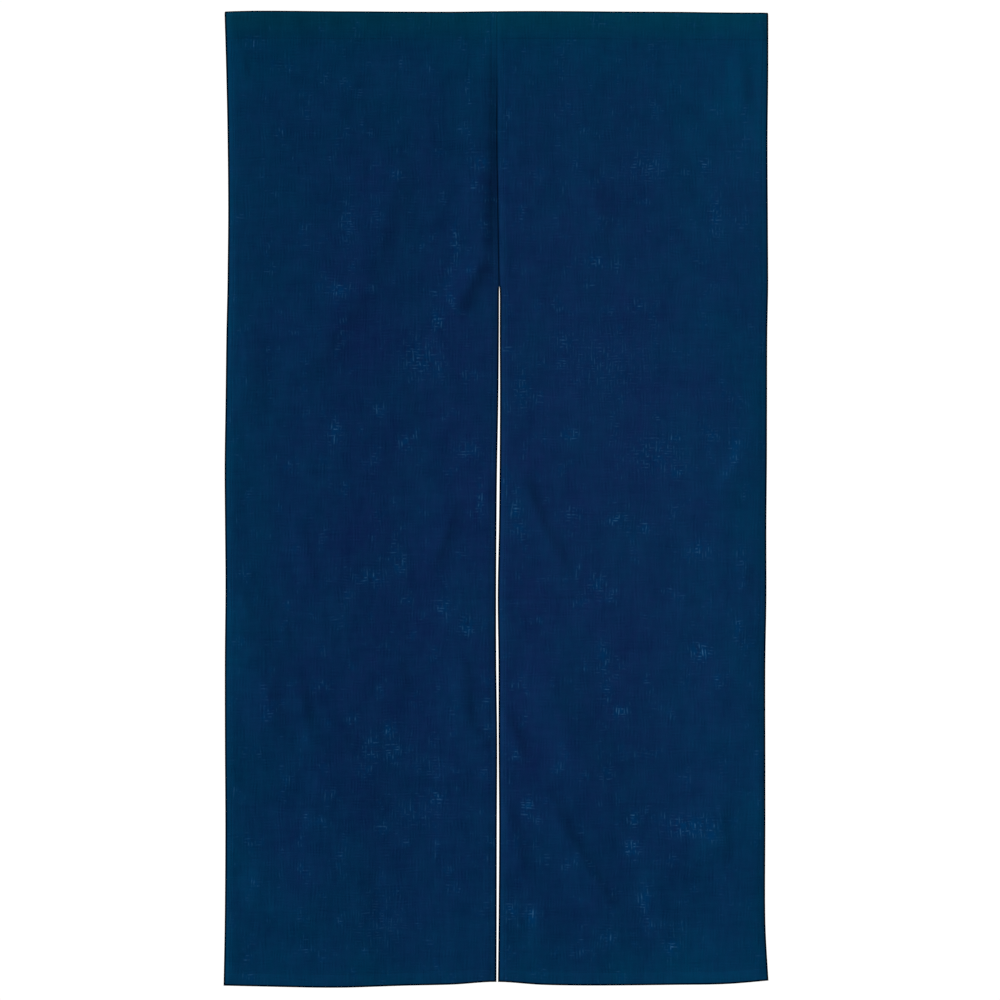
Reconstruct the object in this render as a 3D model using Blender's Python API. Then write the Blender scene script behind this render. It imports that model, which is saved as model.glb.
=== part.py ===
"""Noren curtain: a split door curtain of two plain-weave cloth panels.

The panels are sewn together edge to edge for the upper quarter of the drop and hang
apart below it. The top of each panel is turned over to the back and stitched down as a
sleeve for a rod. The origin is at the middle of the top edge, X runs across the curtain,
Y runs from the front to the back, and Z points up.
"""

import math
from collections import namedtuple

import bmesh
import bpy

# Sizes below are in millimetres and are turned into metres where points are made.
MM = 0.001

CLOTH = 1.2            # one layer of cloth in this solid model
HEM_LAYERS = 2         # a hem is turned to the back once
GAP = 0.3              # clearance between neighbouring pieces

SIDE_HEM = 11.0        # turned width at the outer edges and along the slit
FOOT_HEM = 22.0        # turned width at the bottom
HEM_STEP = 1.5         # width over which a hem's extra layer ends
EDGE_ROLL = 1.6        # how far each free edge curls to the back

SLEEVE_STITCH = 43.0   # stitch line of the rod sleeve, below the top edge
SLEEVE_STRIP = 3.0     # flat strip left below that stitch line
SLEEVE_DEPTH = 16.0    # clear depth of the open sleeve, front to back
SLEEVE_SET_BACK = 7.0  # how far the middle of the open sleeve sits behind the panel
SLEEVE_OPEN_BY = 0.6   # share of the sleeve's wall over which it opens to full depth
SLEEVE_PINCH = 0.3     # half the gap between the layers just above the stitch line
SLEEVE_ARC_STEPS = 8   # facets round the fold at the top

ROW_PITCH = 24.0       # distance between rows of points down a panel
COLUMN_PITCH = 18.0    # distance between columns of points across a panel
SLEEVE_PITCH = 35.0    # distance between sections along the sleeve
SEAM_COLUMNS = (5.0, 19.0, 27.0, 37.0, 50.0)  # closer columns beside the seam

LONGEST_DROP = 1500.0  # from the top edge to the lowest point of the foot

WEAVE_ROUGHNESS = 0.92
PANEL_BLUE = (0.0026, 0.0218, 0.0712, 1.0)
SLEEVE_BLUE = (0.0019, 0.0252, 0.0695, 1.0)

# The long edges: x of each one at a number of drops below the top edge.
# The two inner edges are sewn together down to the slit and stand apart below it.
EdgeRow = namedtuple("EdgeRow", "drop outer_left inner_left inner_right outer_right")
EDGES = (
    EdgeRow(0, -417.0, 1.6, 1.9, 417.6),
    EdgeRow(100, -414.2, 1.6, 1.9, 417.6),
    EdgeRow(200, -412.2, 1.2, 1.5, 416.5),
    EdgeRow(310, -411.3, 2.8, 3.1, 417.0),
    EdgeRow(408, -412.3, 4.4, 4.8, 417.5),
    EdgeRow(420, -412.4, 4.6, 5.1, 417.5),
    EdgeRow(436, -412.7, 4.5, 5.6, 417.3),
    EdgeRow(500, -414.1, 4.3, 5.5, 416.1),
    EdgeRow(600, -415.4, 3.4, 5.8, 415.8),
    EdgeRow(700, -416.8, 1.5, 5.3, 415.4),
    EdgeRow(790, -416.2, 0.6, 4.3, 414.7),
    EdgeRow(900, -415.4, 0.0, 2.4, 414.7),
    EdgeRow(1000, -416.4, 0.2, 3.5, 413.1),
    EdgeRow(1120, -416.4, 1.6, 3.7, 413.0),
    EdgeRow(1260, -415.8, 1.1, 4.5, 413.0),
    EdgeRow(1400, -416.7, 0.9, 3.7, 413.1),
    EdgeRow(1500, -418.5, 0.5, 2.7, 418.4),
)

# The top and bottom edges: how far each lies below the highest point, by x.
EndRow = namedtuple("EndRow", "x top foot")
ENDS = (
    EndRow(-417, 1.1, 1497.4),
    EndRow(-365, 0.0, 1498.6),
    EndRow(-245, 0.9, 1500.0),
    EndRow(-135, 1.4, 1497.5),
    EndRow(-66, 1.6, 1495.7),
    EndRow(0, 0.9, 1491.4),
    EndRow(72, 0.6, 1495.9),
    EndRow(185, 1.3, 1496.9),
    EndRow(280, 1.8, 1496.2),
    EndRow(350, 2.8, 1494.6),
    EndRow(418, 3.1, 1489.0),
)

# Soft folds. Each follows a curved path of three points (x, drop), listed downwards.
# Rise is towards the front, so a trough has a negative rise. The left and right widths
# say how quickly the cloth falls back on either side of the path.
Fold = namedtuple("Fold", "name start middle end rise left right")
FOLDS = (
    Fold("seam_valley", (1.7, 25), (1.5, 180), (4.2, 405), -2.6, 10, 20),
    Fold("seam_shoulder", (-25, 225), (-22, 312), (-19, 412), 3.0, 30, 13),
    Fold("seam_tail_ridge", (-12, 368), (-37, 420), (-72, 482), 3.6, 28, 14),
    Fold("left_upper_ridge", (-144, 205), (-168, 320), (-222, 450), 2.3, 40, 20),
    Fold("left_diagonal", (-196, 400), (-250, 492), (-330, 592), 2.9, 45, 22),
    Fold("left_edge_swell", (-384, 470), (-380, 550), (-391, 625), 2.6, 14, 26),
    Fold("left_middle_ridge", (-64, 730), (-80, 806), (-114, 876), 2.6, 34, 13),
    Fold("left_slit_ridge", (-52, 975), (-50, 1050), (-38, 1122), 3.0, 26, 11),
    Fold("left_long_ridge", (-410, 858), (-365, 1000), (-328, 1155), 7.0, 40, 48),
    Fold("left_long_shelf", (-301, 1113), (-258, 1124), (-210, 1100), 2.6, 22, 30),
    Fold("left_cross_ridge", (-304, 1188), (-232, 1202), (-155, 1211), 3.6, 12, 32),
    Fold("left_foot_ridge", (-399, 1330), (-335, 1360), (-255, 1408), 4.0, 28, 40),
    Fold("left_foot_hollow", (-182, 1300), (-182, 1355), (-177, 1420), -1.6, 14, 12),
    Fold("right_corner_ridge", (374, 55), (377, 107), (381, 170), 2.0, 14, 12),
    Fold("right_upper_ridge", (136, 205), (150, 290), (170, 392), 2.2, 34, 16),
    Fold("right_upper_swell", (264, 205), (271, 248), (282, 300), 1.6, 22, 18),
    Fold("right_short_ridge", (34, 690), (65, 780), (118, 880), 3.0, 26, 12),
    Fold("right_edge_ridge", (396, 640), (361, 711), (330, 772), 2.6, 12, 34),
    Fold("right_middle_ridge", (292, 885), (295, 914), (301, 952), 1.6, 26, 14),
    Fold("right_long_ridge", (66, 970), (103, 1093), (172, 1240), 5.0, 34, 42),
    Fold("right_slit_ridge", (-4, 1078), (26, 1108), (40, 1172), 3.0, 16, 11),
    Fold("right_slit_swell", (8, 1205), (25, 1262), (46, 1336), 2.2, 12, 12),
    Fold("right_lower_ridge", (58, 1155), (118, 1284), (198, 1402), 3.3, 34, 14),
    Fold("right_edge_fall", (344, 1205), (346, 1262), (344, 1320), 3.2, 42, 11),
    Fold("right_edge_turn", (410, 1100), (408, 1190), (410, 1285), 1.8, 12, 14),
    Fold("right_foot_ridge", (244, 1250), (256, 1344), (266, 1440), 4.0, 30, 50),
    Fold("right_foot_swell", (68, 1360), (70, 1398), (67, 1440), 2.2, 14, 26),
)
FOLD_PATH_STEPS = 16   # straight steps that stand for a fold's curved path
FOLD_END_TAPER = 0.3   # share of the path over which a fold dies out at each end

# Slow waves across the hang, fuller towards the foot.
Wave = namedtuple("Wave", "length rise shift")
WAVES = (
    Wave(335.0, 2.0, 70.0),
    Wave(211.0, 1.2, -35.0),
)
WAVE_AT_TOP = 0.15     # share of a wave's rise left at the top edge
WAVE_GROWTH = 1.5      # how steeply a wave grows down the drop


def smooth_lookup(rows, key, column, at):
    """Value of a table column at a place between its rows, as one smooth curve."""
    places = [getattr(row, key) for row in rows]
    values = [getattr(row, column) for row in rows]
    at = min(max(at, places[0]), places[-1])
    upper = next(i for i in range(1, len(places)) if at <= places[i])
    lower = upper - 1

    def slope(index):
        before = max(index - 1, 0)
        after = min(index + 1, len(places) - 1)
        return (values[after] - values[before]) / (places[after] - places[before])

    span = places[upper] - places[lower]
    part = (at - places[lower]) / span
    ends = values[lower] * (1 + 2 * part) * (1 - part) ** 2
    ends += values[upper] * (3 - 2 * part) * part ** 2
    slopes = slope(lower) * part * (1 - part) ** 2
    slopes -= slope(upper) * (1 - part) * part ** 2
    return ends + span * slopes


def smooth_step(low, high, value):
    """0 below low, 1 above high, and an even ramp between them."""
    part = min(max((value - low) / (high - low), 0.0), 1.0)
    return part * part * (3 - 2 * part)


def fold_path(fold):
    """Points along the curved path of a fold, from its start to its end."""
    points = []
    for step in range(FOLD_PATH_STEPS + 1):
        t = step / FOLD_PATH_STEPS
        weights = (2 * (t - 0.5) * (t - 1), 4 * t * (1 - t), 2 * t * (t - 0.5))
        through = (fold.start, fold.middle, fold.end)
        points.append(tuple(sum(w * p[axis] for w, p in zip(weights, through)) for axis in (0, 1)))
    return points


def nearest_on_path(path, x, drop):
    """(share along the path, signed distance), where right of the path is positive."""
    best = None
    for index in range(len(path) - 1):
        (x0, d0), (x1, d1) = path[index], path[index + 1]
        run, fall = x1 - x0, d1 - d0
        length_squared = run * run + fall * fall
        part = ((x - x0) * run + (drop - d0) * fall) / length_squared
        part = min(max(part, 0.0), 1.0)
        away = math.hypot(x - x0 - part * run, drop - d0 - part * fall)
        if best is None or away < best[0]:
            side = (x - x0) * fall - (drop - d0) * run
            best = (away, (index + part) / (len(path) - 1), side)
    away, share, side = best
    return share, math.copysign(away, side)


FOLD_PATHS = [(fold, fold_path(fold)) for fold in FOLDS]


def fold_height(x, drop):
    """How far the folds lift the cloth to the front at a place."""
    height = 0.0
    for fold, path in FOLD_PATHS:
        share, away = nearest_on_path(path, x, drop)
        width = fold.right if away > 0 else fold.left
        taper = smooth_step(0, FOLD_END_TAPER, share) * smooth_step(0, FOLD_END_TAPER, 1 - share)
        height += fold.rise * taper * math.exp(-((away / width) ** 2))
    return height


def wave_height(x, drop):
    """How far the slow waves lift the cloth to the front at a place."""
    fullness = WAVE_AT_TOP + (1 - WAVE_AT_TOP) * (drop / LONGEST_DROP) ** WAVE_GROWTH
    waves = sum(w.rise * math.cos(2 * math.pi * (x - w.shift) / w.length) for w in WAVES)
    return fullness * waves


def cloth_y(x, drop):
    """Y of the back of the front layer, before its edges curl."""
    return -fold_height(x, drop) - wave_height(x, drop)


def point(x, y, drop):
    """A point in metres from millimetres across, back and below the top edge."""
    return (x * MM, y * MM, -drop * MM)


def even_steps(start, end, pitch):
    """Places from start to end, both included, about one pitch apart."""
    count = max(1, round((end - start) / pitch))
    return [start + (end - start) * i / count for i in range(count + 1)]


def hem_share(from_edge, hem):
    """1 inside a hem and 0 beyond it."""
    return 1.0 - smooth_step(hem, hem + HEM_STEP, from_edge)


def finish_object(name, mesh_data, colour):
    """Close the normals, add the object to the scene and give it its own cloth material."""
    bmesh.ops.recalc_face_normals(mesh_data, faces=mesh_data.faces)
    mesh = bpy.data.meshes.new(name)
    mesh_data.to_mesh(mesh)
    mesh_data.free()
    mesh.shade_smooth()
    material = bpy.data.materials.new(name + "_cloth")
    material.use_nodes = True
    shader = material.node_tree.nodes["Principled BSDF"]
    shader.inputs["Base Color"].default_value = colour
    shader.inputs["Roughness"].default_value = WEAVE_ROUGHNESS
    shader.inputs["Metallic"].default_value = 0.0
    mesh.materials.append(material)
    made = bpy.data.objects.new(name, mesh)
    bpy.context.scene.collection.objects.link(made)
    return made


def panel_columns(width, seam_first):
    """Distances across a panel for its columns of points, from its left edge."""
    seam_side = [0.0, *SEAM_COLUMNS, SIDE_HEM, SIDE_HEM + HEM_STEP]
    free_side = [width, width - SIDE_HEM, width - SIDE_HEM - HEM_STEP]
    field = even_steps(max(SEAM_COLUMNS), width - SIDE_HEM - HEM_STEP, COLUMN_PITCH)
    columns = sorted(set(seam_side + field + free_side))
    return columns if seam_first else [width - column for column in reversed(columns)]


def make_panel(name, left_edge, right_edge, seam_first):
    """One hanging panel below the sleeve: a folded sheet with turned hems at its back."""
    nominal = getattr(EDGES[0], right_edge) - getattr(EDGES[0], left_edge)
    nominal_left = getattr(EDGES[0], left_edge)
    across = panel_columns(nominal, seam_first)
    head = SLEEVE_STITCH + SLEEVE_STRIP + GAP
    hem_lines = [LONGEST_DROP - FOOT_HEM, LONGEST_DROP]
    down = even_steps(head, LONGEST_DROP - FOOT_HEM - HEM_STEP, ROW_PITCH) + hem_lines

    sheet = bmesh.new()
    backing = sheet.verts.layers.float.new("backing")
    grid = []
    for level in down:
        row = []
        for offset in across:
            part_down = (level - head) / (LONGEST_DROP - head)
            x = nominal_left + offset
            top = head + smooth_lookup(ENDS, "x", "top", x)
            foot = smooth_lookup(ENDS, "x", "foot", x)
            drop = top + part_down * (foot - top)
            left = smooth_lookup(EDGES, "drop", left_edge, drop)
            right = smooth_lookup(EDGES, "drop", right_edge, drop)
            x = left + (right - left) * offset / nominal
            edge = min(offset, nominal - offset, LONGEST_DROP - level)
            roll = EDGE_ROLL * (1.0 - smooth_step(0, SIDE_HEM, edge))
            hem = max(hem_share(min(offset, nominal - offset), SIDE_HEM),
                      hem_share(LONGEST_DROP - level, FOOT_HEM))
            vertex = sheet.verts.new(point(x, cloth_y(x, drop) + roll - CLOTH, drop))
            vertex[backing] = CLOTH * (1 + (HEM_LAYERS - 1) * hem) * MM
            row.append(vertex)
        grid.append(row)
    for upper, lower in zip(grid, grid[1:]):
        for i in range(len(upper) - 1):
            sheet.faces.new((upper[i], lower[i], lower[i + 1], upper[i + 1]))

    front = list(sheet.faces)
    made = bmesh.ops.extrude_face_region(sheet, geom=front, use_keep_orig=True)
    for item in made["geom"]:
        if isinstance(item, bmesh.types.BMVert):
            item.co.y += item[backing]
    return finish_object(name, sheet, PANEL_BLUE)


def sleeve_loop(wall, wall_shares):
    """Closed loop of (y, drop) round the sleeve: wall is 0 for its inside face.

    The wall shares are heights up the sleeve, 0 at the stitch line and 1 where the fold
    at the top starts. The loop runs up the back, over that fold and down the front.
    """
    radius = SLEEVE_DEPTH / 2 + wall
    fold_drop = SLEEVE_DEPTH / 2 + CLOTH
    back, front = [], []
    for share in wall_shares:
        opening = math.sin(math.pi / 2 * min(max(share, 0.0) / SLEEVE_OPEN_BY, 1.0))
        half = wall + SLEEVE_PINCH + (SLEEVE_DEPTH / 2 - SLEEVE_PINCH) * opening
        middle = SLEEVE_PINCH + (SLEEVE_SET_BACK - SLEEVE_PINCH) * opening
        drop = SLEEVE_STITCH + share * (fold_drop - SLEEVE_STITCH)
        back.append((middle + half, drop))
        front.append((middle - half, drop))
    fold = []
    for step in range(1, SLEEVE_ARC_STEPS):
        turn = math.pi * step / SLEEVE_ARC_STEPS
        y = SLEEVE_SET_BACK + radius * math.cos(turn)
        fold.append((y, fold_drop - radius * math.sin(turn)))
    return back + fold + front[::-1]


def make_sleeve(name, left_edge, right_edge):
    """The open rod sleeve at the head of one panel: a tube of cloth stitched at its foot."""
    strip = -SLEEVE_STRIP / (SLEEVE_STITCH - SLEEVE_DEPTH / 2 - CLOTH)
    outside = sleeve_loop(CLOTH, (strip, 0.0, 0.08, 0.2, 0.35, 0.6, 1.0))
    inside = sleeve_loop(0.0, (0.02, 0.06, 0.12, 0.22, 0.36, 0.6, 1.0))
    left = getattr(EDGES[0], left_edge)
    right = getattr(EDGES[0], right_edge)
    sections = even_steps(left, right, SLEEVE_PITCH)

    tube = bmesh.new()

    def ring(loop, x_nominal):
        vertices = []
        top = smooth_lookup(ENDS, "x", "top", x_nominal)
        set_back = cloth_y(x_nominal, SLEEVE_STITCH)
        for y, drop in loop:
            low = smooth_lookup(EDGES, "drop", left_edge, drop)
            high = smooth_lookup(EDGES, "drop", right_edge, drop)
            x = low + (high - low) * (x_nominal - left) / (right - left)
            vertices.append(tube.verts.new(point(x, y + set_back, drop + top)))
        return vertices

    rings = [ring(outside, x) for x in sections]
    rings += [ring(inside, x) for x in reversed(sections)]
    for index, current in enumerate(rings):
        following = rings[(index + 1) % len(rings)]
        for i in range(len(current)):
            j = (i + 1) % len(current)
            tube.faces.new((current[i], current[j], following[j], following[i]))
    return finish_object(name, tube, SLEEVE_BLUE)


def clear_scene():
    """Remove whatever the scene already holds."""
    for old in list(bpy.data.objects):
        bpy.data.objects.remove(old, do_unlink=True)


def main():
    clear_scene()
    make_sleeve("sleeve_left", "outer_left", "inner_left")
    make_sleeve("sleeve_right", "inner_right", "outer_right")
    make_panel("panel_left", "outer_left", "inner_left", seam_first=False)
    make_panel("panel_right", "inner_right", "outer_right", seam_first=True)


main()
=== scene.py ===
"""Looks of the noren curtain: two hemmed cloth panels with a rod sleeve, and their sewing.

The file is laid out as an add-on and run as a script. Each operator makes one kind of
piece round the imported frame, and the properties hold the sizes and colours to change.
Tables give places in millimetres: x across the curtain, and drop below its top edge.
"""
import math
from collections import namedtuple
from functools import partial

import bpy
import numpy as np
from bpy.props import FloatProperty, IntProperty, PointerProperty, StringProperty
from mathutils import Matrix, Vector, noise


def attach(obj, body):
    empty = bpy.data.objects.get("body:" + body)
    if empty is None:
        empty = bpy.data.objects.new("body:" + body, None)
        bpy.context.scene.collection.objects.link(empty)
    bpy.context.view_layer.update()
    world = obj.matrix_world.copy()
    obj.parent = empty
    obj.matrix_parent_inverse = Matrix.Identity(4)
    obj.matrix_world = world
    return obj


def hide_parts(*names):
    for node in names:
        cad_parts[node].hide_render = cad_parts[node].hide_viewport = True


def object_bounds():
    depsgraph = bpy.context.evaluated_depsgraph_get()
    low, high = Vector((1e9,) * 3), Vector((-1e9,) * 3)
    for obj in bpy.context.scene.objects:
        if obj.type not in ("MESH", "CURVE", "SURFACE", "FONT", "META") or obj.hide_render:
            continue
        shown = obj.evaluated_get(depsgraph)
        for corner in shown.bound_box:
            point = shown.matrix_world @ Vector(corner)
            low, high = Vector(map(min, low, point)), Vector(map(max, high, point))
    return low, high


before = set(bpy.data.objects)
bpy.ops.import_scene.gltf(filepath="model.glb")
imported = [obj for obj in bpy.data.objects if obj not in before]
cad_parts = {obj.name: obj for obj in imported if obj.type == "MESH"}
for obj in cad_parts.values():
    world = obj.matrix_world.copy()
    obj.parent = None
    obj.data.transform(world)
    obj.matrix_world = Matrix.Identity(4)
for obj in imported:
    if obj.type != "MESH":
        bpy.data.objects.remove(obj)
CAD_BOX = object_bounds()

bl_info = {
    "name": "Noren Curtain",
    "version": (1, 0, 0),
    "blender": (4, 5, 0),
    "location": "3D View > Sidebar > Noren",
    "description": "Makes the cloth, the sewing and the studio of a noren curtain",
    "category": "Add Mesh",
}

MM = 0.001
BODY = "root"

# Sizes of the solids, which the cloth keeps to. Down to the panels' head its rows keep
# their distance from the top edge. The sleeve's middle is set back from the front, and
# the sleeve has opened fully at a share of the height above its stitches.
SOLID_LAYER = 1.2
LONGEST_DROP = 1500.0
HALF_WIDTH = 417.0
PANEL_HEAD = 46.3
SLEEVE_DEPTH = 16.0
SLEEVE_SET_BACK = 7.0
SLEEVE_OPEN_BY = 0.6
SEAM_END = 425.0

# The seam's overlap, and how far to either side of its end it opens into the slit.
SEAM_OVERLAP = 0.1
SEAM_OPENING = 4.0

# Where they are sewn together, the edges curl less than the free ones, and at the seam's
# end their curl changes into the free edges'. It grows below the sleeve's stitches, and
# the free edges' curl grows above them.
SEAM_ROLL = 1.2
SEAM_ROLL_GROWTH = 107.0
SEAM_ROLL_CHANGE = 15.0
EDGE_ROLL_GROWTH = 20.0


def table(columns, *rows):
    """A table's rows with their columns named."""
    return [*map(namedtuple("Row", columns)._make, rows)]


# The long edges: x of each one at a number of drops below the top edge.
# The two inner edges are sewn together down to the slit and stand apart below it.
EDGES = table(
    "drop outer_left inner_left inner_right outer_right",
    (0, -417.0, 1.6, 1.9, 417.6),
    (100, -414.2, 1.6, 1.9, 417.6),
    (200, -412.2, 1.2, 1.5, 416.5),
    (310, -411.3, 2.8, 3.1, 417.0),
    (408, -412.3, 4.4, 4.8, 417.5),
    (420, -412.4, 4.6, 5.1, 417.5),
    (436, -412.7, 4.5, 5.6, 417.3),
    (500, -414.1, 4.3, 5.5, 416.1),
    (600, -415.4, 3.4, 5.8, 415.8),
    (700, -416.8, 1.5, 5.3, 415.4),
    (790, -416.2, 0.6, 4.3, 414.7),
    (900, -415.4, 0.0, 2.4, 414.7),
    (1000, -416.4, 0.2, 3.5, 413.1),
    (1120, -416.4, 1.6, 3.7, 413.0),
    (1260, -415.8, 1.1, 4.5, 413.0),
    (1400, -416.7, 0.9, 3.7, 413.1),
    (1500, -418.5, 0.5, 2.7, 418.4),
)

# The top and bottom edges: how far each lies below the highest point, by x.
ENDS = table(
    "x top foot",
    (-417, 1.1, 1497.4),
    (-365, 0.0, 1498.6),
    (-245, 0.9, 1500.0),
    (-135, 1.4, 1497.5),
    (-66, 1.6, 1495.7),
    (0, 0.9, 1491.4),
    (72, 0.6, 1495.9),
    (185, 1.3, 1496.9),
    (280, 1.8, 1496.2),
    (350, 2.8, 1494.6),
    (418, 3.1, 1489.0),
)

# Soft folds of the solids. Each follows a curved path of three points (x, drop), from its
# upper end or, where it runs across, from the left. Rise is towards the front, so a trough
# has a negative rise. The left and right widths say how quickly the cloth falls back to
# either side of the path. Where it runs across, its right side is the upper one.
FOLD = "start middle end rise left right"
FOLDS = table(
    FOLD,
    # Beside the seam.
    ((1.7, 25), (1.5, 180), (4.2, 405), -2.6, 10, 20),  # seam valley
    ((-25, 225), (-22, 312), (-19, 412), 3.0, 30, 13),  # seam shoulder
    ((-12, 368), (-37, 420), (-72, 482), 3.6, 28, 14),  # seam tail ridge
    # The left panel.
    ((-144, 205), (-168, 320), (-222, 450), 2.3, 40, 20),  # upper ridge
    ((-196, 400), (-250, 492), (-330, 592), 2.9, 45, 22),  # diagonal
    ((-384, 470), (-380, 550), (-391, 625), 2.6, 14, 26),  # edge swell
    ((-64, 730), (-80, 806), (-114, 876), 2.6, 34, 13),  # middle ridge
    ((-52, 975), (-50, 1050), (-38, 1122), 3.0, 26, 11),  # slit ridge
    ((-410, 858), (-365, 1000), (-328, 1155), 7.0, 40, 48),  # long ridge
    ((-301, 1113), (-258, 1124), (-210, 1100), 2.6, 22, 30),  # long shelf
    ((-304, 1188), (-232, 1202), (-155, 1211), 3.6, 12, 32),  # cross ridge
    ((-399, 1330), (-335, 1360), (-255, 1408), 4.0, 28, 40),  # foot ridge
    ((-182, 1300), (-182, 1355), (-177, 1420), -1.6, 14, 12),  # foot hollow
    # The right panel.
    ((374, 55), (377, 107), (381, 170), 2.0, 14, 12),  # corner ridge
    ((136, 205), (150, 290), (170, 392), 2.2, 34, 16),  # upper ridge
    ((264, 205), (271, 248), (282, 300), 1.6, 22, 18),  # upper swell
    ((34, 690), (65, 780), (118, 880), 3.0, 26, 12),  # short ridge
    ((396, 640), (361, 711), (330, 772), 2.6, 12, 34),  # edge ridge
    ((292, 885), (295, 914), (301, 952), 1.6, 26, 14),  # middle ridge
    ((66, 970), (103, 1093), (172, 1240), 5.0, 34, 42),  # long ridge
    ((-4, 1078), (26, 1108), (40, 1172), 3.0, 16, 11),  # slit ridge
    ((8, 1205), (25, 1262), (46, 1336), 2.2, 12, 12),  # slit swell
    ((58, 1155), (118, 1284), (198, 1402), 3.3, 34, 14),  # lower ridge
    ((344, 1205), (346, 1262), (344, 1320), 3.2, 42, 11),  # edge fall
    ((410, 1100), (408, 1190), (410, 1285), 1.8, 12, 14),  # edge turn
    ((244, 1250), (256, 1344), (266, 1440), 4.0, 30, 50),  # foot ridge
    ((68, 1360), (70, 1398), (67, 1440), 2.2, 14, 26),  # foot swell
)
# A path is followed in short straight steps, and a fold fades over this share of its ends.
FOLD_PATH_STEPS = 16
FOLD_END_TAPER = 0.3

# Finer creases that only the cloth has, in the same columns.
CREASES = table(
    FOLD,
    # Across both panels.
    ((-72, 904), (70, 905), (224, 903), -1.0, 3.0, 4.4),  # packing crease
    # The left panel.
    ((-390, 48), (-388, 79), (-385, 113), 1.5, 12, 7),  # corner crease
    ((-15, 366), (-44, 420), (-87, 488), 1.6, 20, 9),  # tail crease
    ((-150, 225), (-166, 310), (-200, 410), 0.4, 16, 10),  # upper crease
    ((-208, 435), (-255, 500), (-312, 572), 0.4, 16, 11),  # diagonal crease
    ((-144, 565), (-141, 595), (-116, 642), 1.2, 18, 9),  # middle short crease
    ((-176, 654), (-173, 688), (-175, 725), 1.0, 20, 10),  # middle pale crease
    ((-10, 706), (-12, 752), (-12, 798), 0.6, 10, 6),  # slit crease
    ((-68, 765), (-81, 808), (-103, 852), 0.6, 12, 8),  # middle crease
    ((-367, 729), (-364, 768), (-362, 814), 0.7, 16, 8),  # thin crease
    ((-310, 768), (-290, 828), (-283, 890), 1.7, 18, 9),  # short crease
    ((-156, 990), (-147, 1018), (-138, 1050), 2.0, 18, 8),  # dimple
    ((-310, 1005), (-294, 1075), (-280, 1145), 2.4, 16, 10),  # long step
    ((-352, 1022), (-341, 1066), (-328, 1118), 1.4, 22, 9),  # long inner step
    ((-394, 892), (-385, 914), (-374, 938), 1.4, 12, 8),  # long fold head
    ((-332, 934), (-322, 960), (-312, 990), 1.4, 14, 8),  # long fold middle
    ((-38, 1098), (-25, 1115), (-8, 1128), 1.6, 8, 7),  # slit hook
    ((-206, 222), (-206, 244), (-206, 276), 1.0, 14, 9),  # upper blob
    ((-98, 1175), (-67, 1182), (-37, 1192), 1.4, 8, 16),  # small shelf
    # The right panel.
    ((44, 715), (66, 782), (106, 862), 0.8, 10, 6),  # short crease
    ((383, 844), (381, 868), (385, 906), 2.2, 14, 10),  # edge dimple
    ((94, 1235), (126, 1296), (186, 1384), 1.1, 12, 7),  # lower crease
    # Puckers at the head of the seam.
    ((-14, 6), (-11, 30), (-8, 56), 0.35, 5, 5),  # seam head pucker
    ((7, 4), (8, 40), (8, 90), 0.4, 5, 5),  # seam head ridge
    ((27, 14), (27, 28), (26, 44), 0.3, 4, 4),  # head pucker right
)

# Slow waves across the hang, fuller towards the foot.
WAVES = table(
    "length rise shift",
    (335.0, 2.0, 70.0),
    (211.0, 1.2, -35.0),
)
WAVE_AT_TOP = 0.15
WAVE_GROWTH = 1.5

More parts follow.
